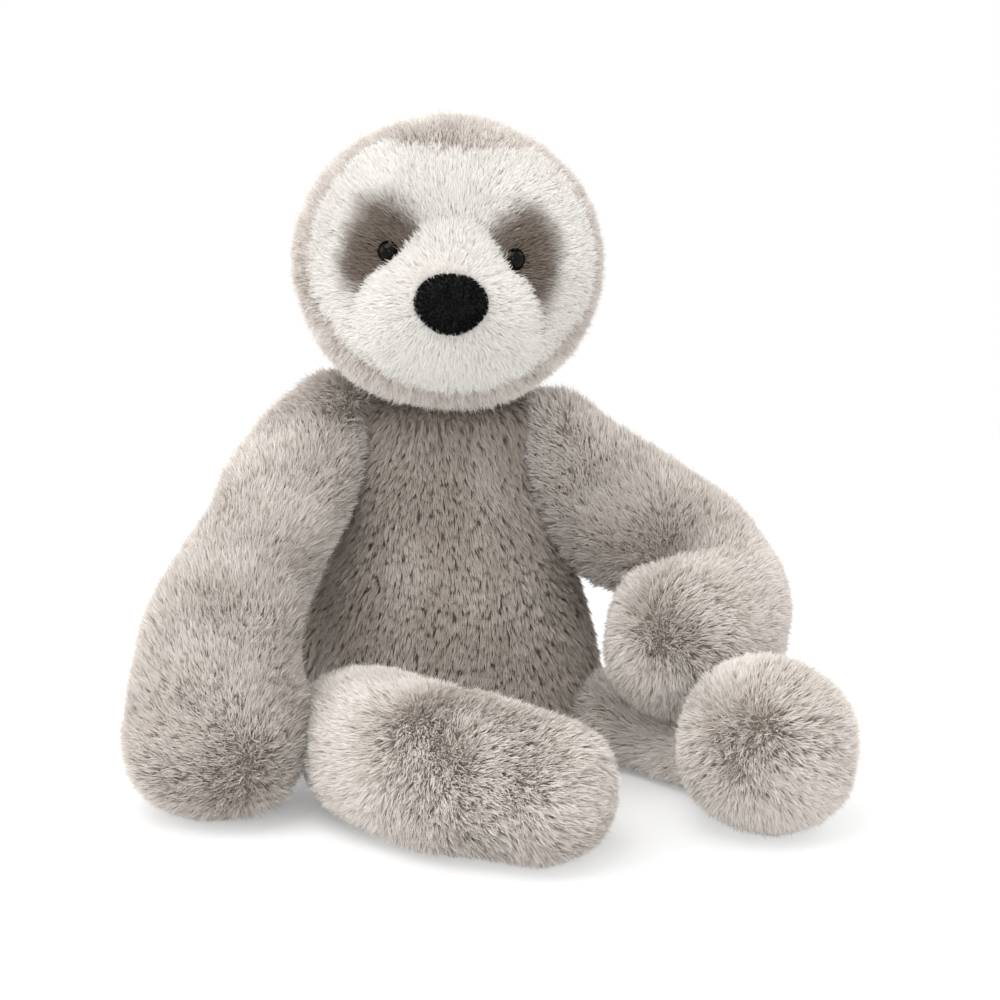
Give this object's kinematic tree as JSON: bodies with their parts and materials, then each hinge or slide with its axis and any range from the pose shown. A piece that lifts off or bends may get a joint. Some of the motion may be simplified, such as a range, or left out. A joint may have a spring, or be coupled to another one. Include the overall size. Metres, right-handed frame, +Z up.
{
  "type": "plush sloth",
  "caption": "Seated long-pile plush sloth with a pale face, padded muzzle, glossy eyes and floppy sewn limbs that swing at the shoulders and hips.",
  "frame": {"origin": "on the floor under the middle of the body, on the flat of the seat", "axes": "+Z up, the toy faces -Y, +X towards the toy's own left"},
  "size_m": [0.3121, 0.2284, 0.2889],
  "materials": {
    "plush_grey": "dense long-pile polyester plush, warm taupe grey, pale tips over darker roots",
    "plush_cream": "dense long-pile polyester plush, off-white, tinted taupe round the eyes",
    "stuffing": "white polyester fibre fill",
    "pouch_cloth": "plain woven pouch of plastic pellets",
    "nose_velour": "short black velour, padded",
    "eye_gloss": "polished dark brown safety eye",
    "washer_plastic": "moulded locking washer"
  },
  "bodies": {
    "torso": {"body_front_skin": "plush_grey", "body_back_skin": "plush_grey", "body_stuffing": "stuffing", "pellet_pouch": "pouch_cloth"},
    "head": {"head_cover_left": "plush_grey", "head_cover_right": "plush_grey", "face_panel": "plush_cream", "muzzle": "plush_cream", "nose": "nose_velour", "head_stuffing": "stuffing", "eye_right": "eye_gloss", "eye_left": "eye_gloss", "eye_washer_right": "washer_plastic", "eye_washer_left": "washer_plastic"},
    "arm_right": {"arm_right_outer_skin": "plush_grey", "arm_right_inner_skin": "plush_grey", "arm_right_stuffing": "stuffing"},
    "arm_left": {"arm_left_outer_skin": "plush_grey", "arm_left_inner_skin": "plush_grey", "arm_left_stuffing": "stuffing"},
    "leg_right": {"leg_right_upper_skin": "plush_grey", "leg_right_lower_skin": "plush_grey", "leg_right_stuffing": "stuffing"},
    "leg_left": {"leg_left_upper_skin": "plush_grey", "leg_left_lower_skin": "plush_grey", "leg_left_stuffing": "stuffing"}
  },
  "joints": [
    {"name": "neck_turn", "type": "hinge", "parent": "torso", "child": "head", "pos_m": [0, 0, 0.164], "axis": [0, 0, 1], "range_deg": [-30, 30]},
    {"name": "shoulder_right_lift", "type": "hinge", "parent": "torso", "child": "arm_right", "pos_m": [-0.0515, -0.002, 0.155], "axis": [-1, 0, 0], "range_deg": [0, 75]},
    {"name": "shoulder_left_swing", "type": "hinge", "parent": "torso", "child": "arm_left", "pos_m": [0.059, -0.002, 0.1295], "axis": [0, 0, 1], "range_deg": [-25, 25]},
    {"name": "hip_right_lift", "type": "hinge", "parent": "torso", "child": "leg_right", "pos_m": [-0.033, -0.045, 0.0245], "axis": [-1, 0, 0], "range_deg": [0, 30]},
    {"name": "hip_left_swing", "type": "hinge", "parent": "torso", "child": "leg_left", "pos_m": [0.05, -0.01, 0.0195], "axis": [0, 0, 1], "range_deg": [-12, 12]}
  ]
}
